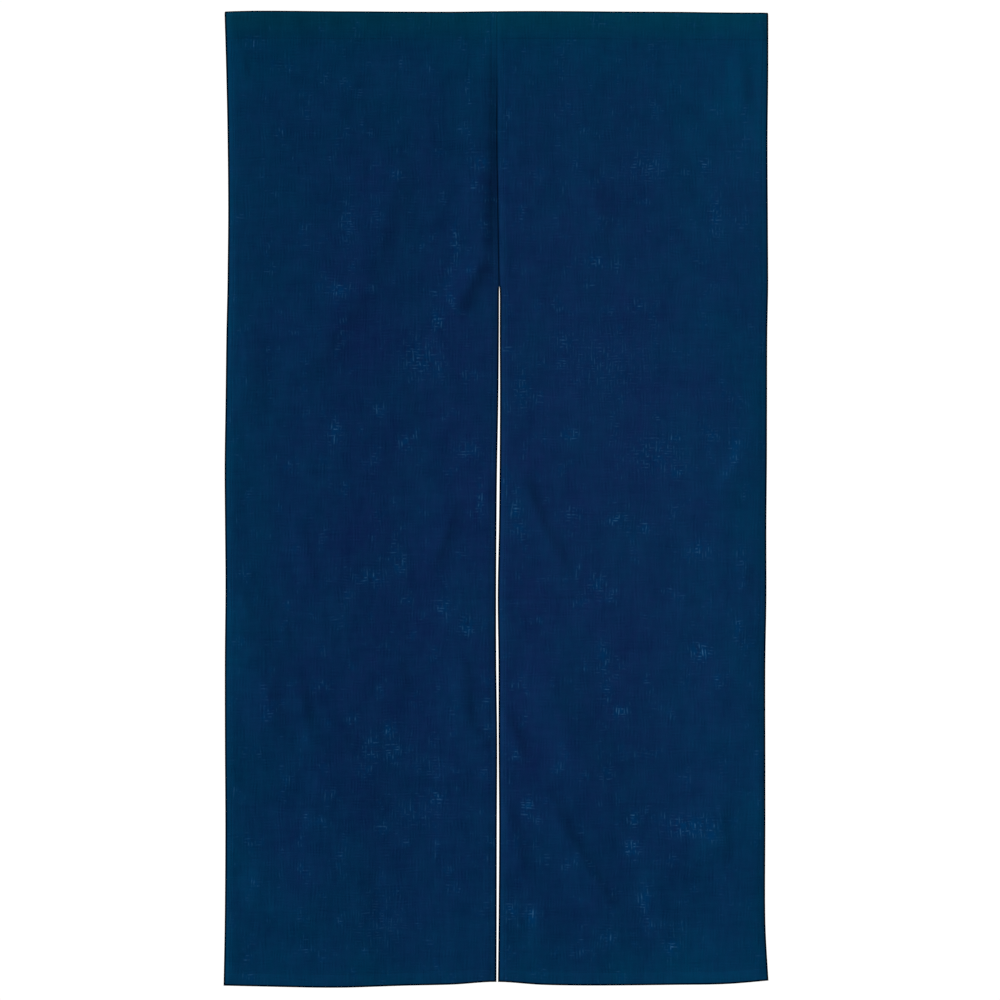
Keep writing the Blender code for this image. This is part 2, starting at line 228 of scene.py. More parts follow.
# Places where the weave is thin and lets light through as clusters of pale specks, on
# the left panel and then on the right one, from the top down.
PATCH = "x drop width height strength"
THIN_PLACES = table(
    PATCH,
    (-375, 52, 7, 5, 1.3), (-23, 234, 9, 9, 1.2), (-154, 252, 10, 9, 0.81), (-34, 268, 5, 12, 0.72),
    (-228, 326, 11, 34, 0.6), (-63, 355, 6, 32, 0.72), (-39, 399, 6, 7, 0.72),
    (-241, 429, 18, 10, 0.9), (-69, 440, 7, 7, 0.81), (-91, 475, 10, 18, 0.81),
    (-115, 534, 28, 28, 0.65), (-91, 547, 12, 14, 0.6), (-180, 616, 9, 11, 0.72),
    (-247, 648, 11, 22, 0.72), (-138, 664, 11, 12, 0.81), (-43, 675, 20, 14, 0.6),
    (-25, 751, 6, 30, 0.63), (-148, 851, 9, 16, 0.9), (-194, 871, 24, 9, 0.81),
    (-79, 917, 15, 13, 0.65), (-45, 947, 10, 14, 0.9), (-221, 1089, 9, 11, 0.63),
    (-13, 1103, 5, 12, 0.81), (-164, 1105, 10, 12, 0.9), (-192, 1132, 13, 24, 0.6),
    (-158, 1138, 14, 18, 0.63), (-105, 1160, 30, 13, 0.3), (-200, 1166, 10, 10, 0.7),
    (-94, 1209, 14, 12, 0.7), (-124, 1232, 40, 20, 0.3), (-174, 1254, 10, 12, 0.6),
    (-178, 1398, 34, 44, 0.25), (320, 239, 10, 12, 0.7), (229, 242, 32, 20, 0.5),
    (336, 318, 9, 34, 0.72), (152, 385, 14, 9, 0.84), (218, 454, 12, 10, 0.6),
    (106, 508, 16, 20, 0.45), (170, 540, 60, 50, 0.3), (101, 543, 9, 9, 0.6),
    (40, 580, 12, 30, 0.72), (113, 652, 14, 9, 0.9), (328, 652, 12, 10, 0.8),
    (274, 658, 12, 9, 0.7), (366, 675, 9, 32, 0.6), (244, 682, 34, 28, 0.6),
    (276, 710, 11, 7, 0.96), (29, 767, 9, 12, 0.84), (118, 775, 18, 13, 0.5),
    (187, 782, 17, 9, 0.96), (228, 794, 10, 9, 0.84), (33, 797, 9, 8, 1.2),
    (313, 828, 17, 14, 0.72), (155, 882, 14, 16, 0.75), (371, 951, 7, 15, 0.96),
    (313, 985, 15, 13, 1.2), (164, 993, 9, 26, 0.8), (340, 1024, 6, 9, 0.84),
    (169, 1045, 9, 22, 0.6), (190, 1077, 12, 10, 0.96), (30, 1143, 7, 12, 0.6),
    (169, 1172, 10, 16, 0.6), (49, 1224, 9, 14, 1.1), (212, 1241, 10, 12, 0.9),
    (300, 1252, 40, 13, 1.0), (330, 1266, 12, 9, 0.8), (208, 1288, 11, 15, 0.96),
    (228, 1365, 10, 21, 0.8), (24, 1383, 10, 13, 0.84), (53, 1391, 7, 13, 1.2),
    (233, 1404, 10, 12, 0.6), (170, 1424, 14, 14, 0.6), (270, 1437, 11, 13, 0.96),
)

# Places painted lighter, or darker with a negative strength: partly dye that took
# unevenly, and partly painted shade, as beside the seam and over the foot.
DYE_AND_SHADE_PATCHES = table(
    PATCH,
    (225, 620, 250, 760, 0.12), (-300, 10, 220, 50, -0.05), (200, 0, 330, 44, 0.02),
    (0, 1400, 430, 420, -0.05), (110, 1290, 150, 180, -0.035), (-163, 94, 44, 36, 0.08),
    (-7, 215, 9, 75, -0.12), (12, 200, 11, 110, -0.12), (-13, 357, 8, 16, -0.14),
    (-63, 300, 22, 110, -0.05), (405, 150, 90, 200, 0.15), (410, 230, 9, 190, 0.09),
    (195, 95, 170, 60, 0.02), (-412, 300, 34, 460, 0.08), (-330, 1180, 110, 90, -0.06),
    (-340, 1410, 60, 40, -0.06), (310, 1340, 80, 50, -0.06), (320, 1490, 220, 30, 0.08),
)

SIDES = {
    "left": ("outer_left", "inner_left"),
    "right": ("inner_right", "outer_right"),
}


class ClothSizes(bpy.types.PropertyGroup):
    """Sizes of the cloth and its hems."""

    layer: FloatProperty(
        name="Layer", description="Thickness of one layer of cloth",
        default=0.0006, unit="LENGTH")
    side_hem: FloatProperty(
        name="Side hem", description="Width of the hems at the sides and along the slit",
        default=0.011, unit="LENGTH")
    foot_hem: FloatProperty(
        name="Foot hem", description="Height of the hem at the foot",
        default=0.022, unit="LENGTH")
    stitch_inset: FloatProperty(
        name="Stitch inset", description="From a hem's inner edge to its line of stitches",
        default=0.0015, unit="LENGTH")
    edge_roll: FloatProperty(
        name="Edge roll", description="How far the free edges curl to the back",
        default=0.0016, unit="LENGTH")
    sleeve_stitch: FloatProperty(
        name="Sleeve stitch", description="Stitch line of the sleeve below the top edge",
        default=0.043, unit="LENGTH")
    point_pitch: FloatProperty(
        name="Point pitch", description="Distance between the points of the cloth's mesh",
        default=0.0048, unit="LENGTH")
    rumple: FloatProperty(
        name="Rumple", description="Height of the cloth's soft unevenness",
        default=0.0005, unit="LENGTH")


class SewingSizes(bpy.types.PropertyGroup):
    """Sizes of the stitches in the hems and the sleeve."""

    thread: FloatProperty(
        name="Thread", description="Thickness of the sewing thread",
        default=0.00042, unit="LENGTH")
    stitch: FloatProperty(
        name="Stitch", description="Length of one stitch", default=0.0026, unit="LENGTH")
    pitch: FloatProperty(
        name="Pitch", description="From the start of a stitch to the start of the next",
        default=0.0034, unit="LENGTH")
    bar_strands: IntProperty(
        name="Bar strands", description="Strands in the bar tack at the top of the slit",
        default=7, min=1)
    bar_width: FloatProperty(
        name="Bar width", description="Length of the bar tack's strands across the seam",
        default=0.006, unit="LENGTH")


class WeaveLook(bpy.types.PropertyGroup):
    """Colours and scales of the dyed plain weave."""

    indigo: StringProperty(
        name="Indigo", description="The cloth's main blue, as sRGB hex", default="0C1F4B")
    border: StringProperty(
        name="Border", description="Blue of the cloth's borders, as sRGB hex", default="002F4E")
    head: StringProperty(
        name="Head", description="Greener blue of the top edge, as sRGB hex", default="00334A")
    border_spread: StringProperty(
        name="Border spread", description="Lightness between threads in the borders",
        default="030D10")
    spread: StringProperty(
        name="Spread", description="Lightness between light and dark threads, as sRGB hex",
        default="0A0D10")
    # The glow of thin places and the specks in their gaps are painted light from behind.
    glow: StringProperty(
        name="Thin place", description="Blue where the weave is thin, as sRGB hex",
        default="003460")
    speck: StringProperty(
        name="Speck", description="Light that comes through a gap, as sRGB hex",
        default="3E6E96")
    # Painted shade along the folded edges and the seam.
    shaded: StringProperty(
        name="Folded edge", description="Blue along the folded edges, as sRGB hex",
        default="00040E")
    thread: StringProperty(
        name="Sewing thread", description="Blue of the sewing thread, as sRGB hex",
        default="05284A")
    thread_pitch: FloatProperty(
        name="Thread pitch", description="Distance between the threads as drawn",
        default=0.0016, unit="LENGTH")
    bar_pitch: FloatProperty(
        name="Bar pitch", description="Distance between the bars of thick and thin yarn",
        default=0.0047, unit="LENGTH")
    slub_length: FloatProperty(
        name="Slub length", description="Length of a thick place in a thread",
        default=0.020, unit="LENGTH")


class StageLook(bpy.types.PropertyGroup):
    """Camera, lights and floor."""

    lens: FloatProperty(
        name="Lens", description="Focal length in millimetres", default=135.0)
    picture_width: FloatProperty(
        name="Picture width", description="Width of the view at the cloth",
        default=1.5344, unit="LENGTH")
    key: FloatProperty(
        name="Key light", description="Strength of the soft light from the left", default=3.5)
    back: FloatProperty(
        name="Back light", description="Strength of the soft light on the back", default=2.0)
    surround: FloatProperty(
        name="Surround", description="Strength of the even light from all round", default=0.17)
    floor_below: FloatProperty(
        name="Floor below", description="From the curtain's foot down to the floor",
        default=0.42, unit="LENGTH")


def linear_colour(code):
    """RGBA in linear light from an sRGB hex code, by the curve of the sRGB standard."""
    channels = [int(code[i:i + 2], 16) / 255 for i in (0, 2, 4)]
    curve = [c / 12.92 if c <= 0.04045 else ((c + 0.055) / 1.055) ** 2.4 for c in channels]
    return (*curve, 1.0)


def shades(code, spread, shares=(-1, 1)):
    """RGBA of a darker and a lighter shade of an sRGB hex code, by shares of a spread."""
    made = []
    for share in shares:
        levels = (int(code[i:i + 2], 16) + share * int(spread[i:i + 2], 16) for i in (0, 2, 4))
        limited = [min(max(round(level), 0), 255) for level in levels]
        made.append(linear_colour("%02X%02X%02X" % tuple(limited)))
    return made


def smooth_lookup(rows, key, column, at):
    """Values of a table column at places between its rows, as one smooth curve."""
    picked = [(getattr(row, key), getattr(row, column)) for row in rows]
    places, values = np.array(picked, float).T
    before = np.maximum(np.arange(len(places)) - 1, 0)
    after = np.minimum(np.arange(len(places)) + 1, len(places) - 1)
    slopes = (values[after] - values[before]) / (places[after] - places[before])
    at = np.clip(at, places[0], places[-1])
    upper = np.clip(np.searchsorted(places, at), 1, len(places) - 1)
    lower = upper - 1
    span = places[upper] - places[lower]
    part = (at - places[lower]) / span
    ends = values[lower] * (1 + 2 * part) * (1 - part) ** 2
    ends = ends + values[upper] * (3 - 2 * part) * part ** 2
    bend = slopes[lower] * part * (1 - part) ** 2 - slopes[upper] * (1 - part) * part ** 2
    return ends + span * bend


def smooth_step(low, high, value):
    """0 below low, 1 above high, and an even ramp between them."""
    part = np.clip((value - low) / (high - low), 0.0, 1.0)
    return part * part * (3 - 2 * part)


def fold_lift(fold, x, drop):
    """How far one fold lifts the cloth to the front, at arrays of places."""
    t = np.linspace(0, 1, FOLD_PATH_STEPS + 1)[:, None]
    start, middle, end = (np.array(p, float) for p in (fold.start, fold.middle, fold.end))
    # The curve passes through the three points at t = 0, 0.5 and 1.
    path = 2 * (t - 0.5) * (t - 1) * start + 4 * t * (1 - t) * middle + 2 * t * (t - 0.5) * end
    best = np.full(x.shape, np.inf)
    share = np.zeros(x.shape)
    side = np.zeros(x.shape)
    for index in range(FOLD_PATH_STEPS):
        (x0, d0), (run, fall) = path[index], path[index + 1] - path[index]
        part = ((x - x0) * run + (drop - d0) * fall) / (run * run + fall * fall)
        part = np.clip(part, 0.0, 1.0)
        away = np.hypot(x - x0 - part * run, drop - d0 - part * fall)
        nearer = away < best
        best = np.where(nearer, away, best)
        share = np.where(nearer, (index + part) / FOLD_PATH_STEPS, share)
        side = np.where(nearer, (x - x0) * fall - (drop - d0) * run, side)
    width = np.where(side > 0, fold.right, fold.left)
    taper = smooth_step(0, FOLD_END_TAPER, share) * smooth_step(0, FOLD_END_TAPER, 1 - share)
    return fold.rise * taper * np.exp(-((best / width) ** 2))


def folds_lift(folds, x, drop):
    """How far a table of folds or creases lifts the cloth to the front."""
    return sum(fold_lift(fold, x, drop) for fold in folds)


def wave_lift(x, drop):
    """How far the slow waves lift the cloth to the front."""
    fullness = WAVE_AT_TOP + (1 - WAVE_AT_TOP) * (drop / LONGEST_DROP) ** WAVE_GROWTH
    return fullness * sum(w.rise * np.cos(2 * np.pi * (x - w.shift) / w.length) for w in WAVES)


def soft_noise(x, drop, width, height, seed):
    """Smooth noise between about -1 and 1 with features of a width and height."""
    places = zip((x / width).flat, (drop / height).flat)
    flat = [noise.noise(Vector((across, down, seed))) for across, down in places]
    return np.array(flat).reshape(x.shape)


# The cloth's broad and narrow unevenness: share, width, height and seed of each.
RUMPLES = ((1.4, 62.0, 110.0, 3.1), (0.6, 22.0, 40.0, 7.7))


def rumple_lift(x, drop, height):
    """The cloth's own soft unevenness, which no fold accounts for."""
    return height * sum(share * soft_noise(x, drop, *form) for share, *form in RUMPLES)


# Grooves that the stitches draw into the front: their depth and reach. They are fainter
# at the top, grow full between two levels, and pucker along their length by a share, with
# puckers of a width, height and seed.
SIDE_GROOVE = (0.32, 1.6)
FOOT_GROOVE = (0.30, 1.8)
SLEEVE_GROOVE = (0.05, 1.8)
GROOVE_AT_TOP = 0.25
GROOVE_GROWTH = (30.0, 120.0)
PUCKER = 0.8
PUCKER_FORM = (7.0, 7.0, 11.3)

# The sleeve's turned edge shows through as a low ridge that starts and ends in these
# levels. In one place, beside the seam, the ridge and the sleeve's groove show more.
TURNED_EDGE = 0.04
TURNED_START = (35.0, 37.0)
TURNED_END = (42.0, 46.0)
SHOWN_X = 62.0
SHOWN_WIDTH = 45.0
SHOWN_GROOVE = 0.15
SHOWN_TURNED_EDGE = 0.30

# Width of the step from a hem's three layers down to one.
HEM_STEP = 0.6


class PanelShape:
    """Places of one panel's front surface, from an offset across and a level down it."""

    def __init__(self, side, sizes):
        self.side = side
        self.left, self.right = SIDES[side]
        self.nominal_left = getattr(EDGES[0], self.left)
        self.nominal = getattr(EDGES[0], self.right) - self.nominal_left
        self.stitch = sizes.sleeve_stitch / MM
        self.side_hem = sizes.side_hem / MM
        self.foot_hem = sizes.foot_hem / MM
        self.inset = sizes.stitch_inset / MM
        self.roll = sizes.edge_roll / MM
        self.rumple = sizes.rumple / MM
        self.layer = sizes.layer / MM

    def edge_x(self, column, drop):
        """x of a long edge; above the slit the two inner edges meet in the seam."""
        x = smooth_lookup(EDGES, "drop", column, drop)
        if column.startswith("outer"):
            return x
        seam = (smooth_lookup(EDGES, "drop", "inner_left", drop)
                + smooth_lookup(EDGES, "drop", "inner_right", drop)) / 2
        overlap = SEAM_OVERLAP if column == "inner_left" else -SEAM_OVERLAP
        opened = smooth_step(SEAM_END - SEAM_OPENING, SEAM_END + SEAM_OPENING, drop)
        return x + (seam + overlap - x) * (1 - opened)

    def place(self, offset, level):
        """(x, drop) of a point offset across the panel at a level of its flat length."""
        nominal_x = self.nominal_left + offset
        top = smooth_lookup(ENDS, "x", "top", nominal_x)
        foot = smooth_lookup(ENDS, "x", "foot", nominal_x)
        part = (level - PANEL_HEAD) / (LONGEST_DROP - PANEL_HEAD)
        hanging = PANEL_HEAD + top + part * (foot - PANEL_HEAD - top)
        drop = np.where(level > PANEL_HEAD, hanging, level + top)
        left, right = self.edge_x(self.left, drop), self.edge_x(self.right, drop)
        return left + (right - left) * offset / self.nominal, drop

    def from_side(self, offset):
        """Distance to the nearer side of the panel."""
        return np.minimum(offset, self.nominal - offset)

    def from_seam(self, offset):
        """Distance to the side that is sewn to the other panel above the slit."""
        return self.nominal - offset if self.side == "left" else offset

    def front(self, offset, level):
        """(x, y, drop) of the front face of the hanging part, with every fold and crease."""
        x, drop = self.place(offset, level)
        lift = wave_lift(x, drop) + folds_lift(CREASES, x, drop) + folds_lift(FOLDS, x, drop)
        lift = lift + rumple_lift(x, drop, self.rumple)
        lift = lift + self.sewing_lift(offset, level, x, drop)
        edge = np.minimum(self.from_side(offset), LONGEST_DROP - level)
        sewn = 1 - smooth_step(SEAM_END - SEAM_ROLL_CHANGE, SEAM_END + SEAM_ROLL_CHANGE, level)
        sewn = sewn * (self.from_seam(offset) < self.side_hem)
        seam_roll = SEAM_ROLL * smooth_step(self.stitch, self.stitch + SEAM_ROLL_GROWTH, level)
        roll = self.roll * smooth_step(self.stitch - EDGE_ROLL_GROWTH, self.stitch, level)
        curl = (roll + (seam_roll - roll) * sewn) * (1 - smooth_step(0, self.side_hem, edge))
        return x, curl - lift - SOLID_LAYER, drop

    def sewing_lift(self, offset, level, x, drop):
        """Grooves and small puckers that the lines of stitches draw into the front."""
        pucker = 1 + PUCKER * soft_noise(x, drop, *PUCKER_FORM)
        shown = np.exp(-(((x - SHOWN_X) / SHOWN_WIDTH) ** 2))
        lines = (
            (self.from_side(offset) - (self.side_hem - self.inset), SIDE_GROOVE, 0.0),
            (LONGEST_DROP - level - (self.foot_hem - self.inset), FOOT_GROOVE, 0.0),
            (level - self.stitch, SLEEVE_GROOVE, SHOWN_GROOVE * shown),
        )
        grown = GROOVE_AT_TOP + (1 - GROOVE_AT_TOP) * smooth_step(*GROOVE_GROWTH, level)
        lift = np.zeros(x.shape)
        for away, (depth, reach), more in lines:
            drawn = (depth + more) * pucker * np.exp(-((away / reach) ** 2))
            lift = lift - drawn * grown
        turned = smooth_step(*TURNED_START, level) * (1 - smooth_step(*TURNED_END, level))
        return lift + (TURNED_EDGE + SHOWN_TURNED_EDGE * shown) * turned

    def hem_shares(self, offset, level):
        """1 on the side hems and on the foot hem, and 0 past their inner edges."""
        side = 1 - smooth_step(self.side_hem, self.side_hem + HEM_STEP, self.from_side(offset))
        foot = 1 - smooth_step(self.foot_hem, self.foot_hem + HEM_STEP, LONGEST_DROP - level)
        return side, foot

    def thickness(self, offset, level):
        """How thick the cloth is: one layer, and three in its turned hems."""
        return self.layer * (1 + 2 * np.maximum(*self.hem_shares(offset, level)))


# How far in from a folded edge its painted shade is darkest, and where it has ended.
EDGE_SHADE_WIDTH = (2.3, 3.2)

# Rows of points from an edge inwards: round its fold, over the hem as far as the hem has
# room, at the stitches, and past the hem's inner edge.
FOLD_ANGLES = (0, 35, 65, 90)
HEM_MARKS = (*EDGE_SHADE_WIDTH, 5.6, 9.0, 12.5, 16.0)
STITCH_MARKS = (-1.5, -0.7, 0.0, 0.8)
PAST_HEM_MARKS = (0.0, HEM_STEP, 3.6, 7.6)

# More rows beside the seam, below the sleeve's stitches, and by the packing crease.
SEAM_MARKS = (21.5, 25.0, 29.0, 33.5)
SLEEVE_FOOT_MARKS = (0.0, 0.9, 1.8, 3.4, 6.5)
PACKING_LEVEL = 903.5
PACKING_MARKS = (8.0, 5.0, 2.5, 1.0, 0.0, -1.0, -2.5, -5.0, -8.0)
PACKING_CLEARANCE = 1.5


def edge_marks(hem, inset, rounding):
    """Distances from an edge for the rows of points round its fold and its stitches."""
    fold = [rounding * (1 - math.cos(math.radians(angle))) for angle in FOLD_ANGLES]
    stitches = [hem - inset + away for away in STITCH_MARKS]
    field = [mark for mark in HEM_MARKS if mark < stitches[0]]
    return fold + field + stitches + [hem + away for away in PAST_HEM_MARKS]


def fill_marks(start, end, length, pitch):
    """Distances along a length: the start's marks, even steps, and the end's marks."""
    first, last = max(start), length - max(end)
    count = max(1, round((last - first) / pitch))
    steps = [first + (last - first) * i / count for i in range(1, count)]
    return np.array([*start, *steps, *(length - mark for mark in reversed(end))])


def sleeve_opening(share):
    """How far open the sleeve is, from 0 at its stitches to 1 at its full depth."""
    return math.sin(math.pi / 2 * min(share / SLEEVE_OPEN_BY, 1.0))


# How far in from its edge a hem's fold is rounded, in layers of cloth.
HEM_ROUNDING = 2.5

# The share of its way to the middle by which each face, front and back, stops short.
SIDE_CONTACTS = (0.12, 0.12)
FOOT_CONTACTS = (0.0, 0.1)

# One row of the sleeve's cloth: where its outer face is, which way is inwards, its layers.
SleeveRow = namedtuple("SleeveRow", "y level in_y in_level layers")

# Rows up the sleeve's front wall and down its flap, by their share of the height from the
# stitches up to the fold, which has steps of its own. Below one share the flap's edge is
# turned in, and past the stitches its rows are given by y, level and layers. A row counts
# as the wall's, or the flap's, where its inward direction leans to the back, or to the
# front, by more than FACING.
WALL_SHARES = (0.03, 0.07, 0.11, 0.15, 0.19, 0.24, 0.34, 0.46, 0.6, 0.73, 0.86, 1.0)
ARC_STEPS = 14
FLAP_SHARES = (1.0, 0.86, 0.73, 0.6, 0.46, 0.34, 0.24, 0.19, 0.17, 0.1, 0.05, 0.0)
FLAP_TURNED_SHARE = 0.18
FLAP_FOOT = 0.9
FLAP_END = ((0.0, 1.3, 2), (0.0, 2.4, 2), (-0.3, 2.7, 1))
FACING = 0.5


def sleeve_rows(stitch):
    """Rows up the front wall of the open sleeve, over its fold and down to the stitches."""
    radius = SLEEVE_DEPTH / 2 + SOLID_LAYER
    rows = []
    for share in WALL_SHARES:
        y = -SOLID_LAYER + (SLEEVE_SET_BACK + SOLID_LAYER - radius) * sleeve_opening(share)
        rows.append(SleeveRow(y, stitch + share * (radius - stitch), 1.0, 0.0, 1))
    for step in range(1, ARC_STEPS):
        turn = math.pi * (1 - step / ARC_STEPS)
        rows.append(SleeveRow(SLEEVE_SET_BACK + radius * math.cos(turn),
                              radius - radius * math.sin(turn),
                              -math.cos(turn), math.sin(turn), 1))
    for share in FLAP_SHARES:
        y = FLAP_FOOT + (SLEEVE_SET_BACK + radius - FLAP_FOOT) * sleeve_opening(share)
        layers = 1 if share > FLAP_TURNED_SHARE else 2
        rows.append(SleeveRow(y, stitch + share * (radius - stitch), -1.0, 0.0, layers))
    for y, below, layers in FLAP_END:
        rows.append(SleeveRow(FLAP_FOOT + y, stitch + below, -1.0, 0.0, layers))
    return rows


def sleeve_faces(shape, across, stitch_y):
    """Outer and inner rows of points of the sleeve, above the panel's stitched row."""
    top = shape.place(across, 0.0)[1]
    hems = shape.thickness(across, 0.0) - shape.layer
    stitched = np.full(across.shape, shape.stitch)
    x = shape.place(across, stitched)[0]
    stitch_lift = folds_lift(CREASES, x, stitched)
    stitch_lift = stitch_lift + shape.sewing_lift(across, stitched, x, stitched)
    outer, inner = [], []
    for row in sleeve_rows(shape.stitch):
        level = np.full(across.shape, row.level)
        x = shape.place(across, level)[0]
        y = stitch_y + SOLID_LAYER + row.y + stitch_lift
        if row.in_y > FACING:
            y = y - folds_lift(CREASES, x, level) - shape.sewing_lift(across, level, x, level)
        if row.in_y < -FACING:
            y = y + 2 * hems * (1 - smooth_step(FLAP_FOOT, SLEEVE_SET_BACK, row.y))
        thick = row.layers * shape.layer + hems
        outer.append(np.stack([x, y, row.level + top], axis=-1))
        inner.append(np.stack([x, y + row.in_y * thick,
                               row.level + top + row.in_level * thick], axis=-1))
    return outer, inner


def draw_together(front, back, distance, rounding, contacts):
    """Draws the two faces together towards an edge, as the fold of a hem does."""
    share = np.clip(distance / rounding, 0, 1)
    pull = 1 - np.sqrt(1 - (1 - share) ** 2)
    middle = (front + back) / 2
    for face, contact in zip((front, back), contacts):
        face += (middle - face) * pull * (1 - contact)


def new_object(name, points, faces):
    """A smooth object from points in millimetres across, back and down."""
    mesh = bpy.data.meshes.new(name)
    places = np.stack([points[:, 0], points[:, 1], -points[:, 2]], axis=1) * MM
    mesh.from_pydata(places.tolist(), [], faces)
    mesh.update()
    mesh.shade_smooth()
    made = bpy.data.objects.new(name, mesh)
    bpy.context.scene.collection.objects.link(made)
    return made


def closed_sheet(name, front, back):
    """Closes a front and a back grid of points into one sheet."""
    rows, columns = front.shape[:2]
    index = np.arange(rows * columns).reshape(rows, columns)
    corners = (index[:-1, :-1], index[:-1, 1:], index[1:, 1:], index[1:, :-1])
    quads = np.stack(corners, axis=-1).reshape(-1, 4)
    count = rows * columns
    faces = quads.tolist() + (quads[:, ::-1] + count).tolist()
    rim = np.concatenate([index[0, :], index[1:, -1], index[-1, -2::-1], index[-2:0:-1, 0]])
    following = np.roll(rim, -1)
    faces += np.stack([following, rim, rim + count, following + count], axis=-1).tolist()
    points = np.concatenate([front.reshape(-1, 3), back.reshape(-1, 3)])
    return new_object(name, points, faces)


def add_attribute(made, name, values):
    """A number at each point, which the material reads by name."""
    layer = made.data.attributes.new(name, "FLOAT", "POINT")
    layer.data.foreach_set("value", np.asarray(values, np.float32))


def make_cloth(side, sizes):
    """One panel's cloth as a closed thin sheet: hanging part, turned hems and sleeve."""
    shape = PanelShape(side, sizes)
    pitch = sizes.point_pitch / MM
    rounding = HEM_ROUNDING * shape.layer

    free_side = edge_marks(shape.side_hem, shape.inset, rounding)
    seam_side = [*free_side, *SEAM_MARKS]
    start, end = (free_side, seam_side) if side == "left" else (seam_side, free_side)
    across = fill_marks(start, end, shape.nominal, pitch)
    foot = edge_marks(shape.foot_hem, shape.inset, rounding)
    down = fill_marks(SLEEVE_FOOT_MARKS, foot, LONGEST_DROP - shape.stitch, pitch)
    levels = shape.stitch + down[::-1]
    packing = PACKING_LEVEL + np.array(PACKING_MARKS)
    lower = levels[levels > packing[0] + PACKING_CLEARANCE]
    upper = levels[levels < packing[-1] - PACKING_CLEARANCE]
    levels = np.concatenate([lower, packing, upper])

    offset, level = np.meshgrid(across, levels)
    x, y, drop = shape.front(offset, level)
    thick = shape.thickness(offset, level)
    outer, inner = sleeve_faces(shape, across, y[-1])
    front = np.concatenate([np.stack([x, y, drop], axis=-1), np.stack(outer)])
    back = np.concatenate([np.stack([x, y + thick, drop], axis=-1), np.stack(inner)])
    from_side = shape.from_side(across)[None, :, None]
    draw_together(front, back, from_side, rounding, SIDE_CONTACTS)
    from_foot = (LONGEST_DROP - levels)[:, None, None]
    hanging = slice(len(levels))
    draw_together(front[hanging], back[hanging], from_foot, rounding, FOOT_CONTACTS)
    made = closed_sheet("cloth_" + side, front, back)
    sleeve_levels = np.array([row.level for row in sleeve_rows(shape.stitch)])
    sleeve_levels[sleeve_levels.argmin() + 1:] += EDGE_SHADE_WIDTH[1]
    offset, level = np.meshgrid(across, np.concatenate([levels, sleeve_levels]))
    # The fold field is painted shade along the folded edges and the seam.
    for name, field in (("hem", hem_field), ("fold", edge_shade_field)):
        values = field(shape, offset, level).ravel()
        add_attribute(made, name, np.concatenate([values, values]))
    return made


# How much paler the hems look, from 0 for not at all.
SIDE_HEM_PALER = 0.5
FOOT_HEM_PALER = 0.3


def hem_field(shape, offset, level):
    """How much paler the turned hems are coloured."""
    side, foot = shape.hem_shares(offset, level)
    return np.maximum(SIDE_HEM_PALER * side, FOOT_HEM_PALER * foot)


# The seam's line of painted shade is narrower and fainter, and starts between these levels.
SEAM_DARK_WIDTH = (0.3, 2.3)
SEAM_DARK_START = (70.0, 170.0)
SEAM_DARKNESS = 0.7


def edge_shade_field(shape, offset, level):
    """1 along the outer folds and the seam, which get painted shade; faint at the seam's head.

    Past the fold at the top edge the levels count on, so the painted shade ends there.
    """
    seam_away = shape.from_seam(offset)
    at_seam = (1 - smooth_step(*SEAM_DARK_WIDTH, seam_away)) * SEAM_DARKNESS
    at_seam = at_seam * smooth_step(*SEAM_DARK_START, level)
    slit_away = np.where(level > SEAM_END, seam_away, shape.nominal)
    free_edges = (slit_away, shape.nominal - seam_away, level, LONGEST_DROP - level)
    free_away = np.minimum.reduce(free_edges)
    return np.maximum(at_seam, 1 - smooth_step(*EDGE_SHADE_WIDTH, free_away))


def patch_field(patches, x, drop):
    """Each patch's strength spread softly over its width and height, at every point."""
    for patch in patches:
        away = ((x - patch.x) / patch.width) ** 2 + ((drop - patch.drop) / patch.height) ** 2
        yield patch.strength * np.exp(-away)


# How the greener blue of the borders fades inwards: its share at the edge and its reach.
# The top edge's own blue fades out between the two levels of its reach.
BORDER_TOP = (1.0, 185.0)
BORDER_FOOT = (0.72, 190.0)
BORDER_LEFT = (0.80, 95.0)
BORDER_RIGHT = (0.72, 95.0)
HEAD_REACH = (6.0, 62.0)


def border_field(x, drop):
    """1 at the borders, where the dye looks greener, fading to 0 at the middle."""
    rest = np.ones(x.shape)
    edges = (
        (drop, BORDER_TOP),
        (LONGEST_DROP - drop, BORDER_FOOT),
        (x + HALF_WIDTH, BORDER_LEFT),
        (HALF_WIDTH - x, BORDER_RIGHT),
    )
    for away, (share, reach) in edges:
        rest = rest * (1 - np.clip(share * np.exp(-np.maximum(away, 0) / reach), 0, 1))
    return 1 - rest


def paint_fields(made):
    """Gives each point of the cloth its border, dye and painted shade, and thinness."""
    points = np.empty(len(made.data.vertices) * 3)
    made.data.vertices.foreach_get("co", points)
    points = points.reshape(-1, 3) / MM
    x, drop = points[:, 0], -points[:, 2]
    add_attribute(made, "border", border_field(x, drop))
    add_attribute(made, "head", 1 - smooth_step(*HEAD_REACH, drop))
    # Uneven dye, and painted shade beside the seam and over the foot.
    add_attribute(made, "dye", sum(patch_field(DYE_AND_SHADE_PATCHES, x, drop)))
    add_attribute(made, "thin", np.max(list(patch_field(THIN_PLACES, x, drop)), axis=0))


def add_node(tree, kind, settings, *sources, output=None):
    """Adds a node with its settings and links, and returns one of its outputs.

    The settings are its fields and inputs by name, and the sources fill its first usable
    inputs in order. A socket is linked, and any other value is set.
    """
    node = tree.nodes.new(kind)
    named = []
    for name, value in settings.items():
        if hasattr(node, name):
            setattr(node, name, value)
        else:
            named.append((node.inputs[name], value))
    usable = [socket for socket in node.inputs if socket.enabled]
    for socket, value in [*named, *zip(usable, sources)]:
        if isinstance(value, bpy.types.NodeSocket):
            tree.links.new(value, socket)
        else:
            socket.default_value = value
    if output is not None:
        return node.outputs[output]
    return next(socket for socket in node.outputs if socket.enabled)


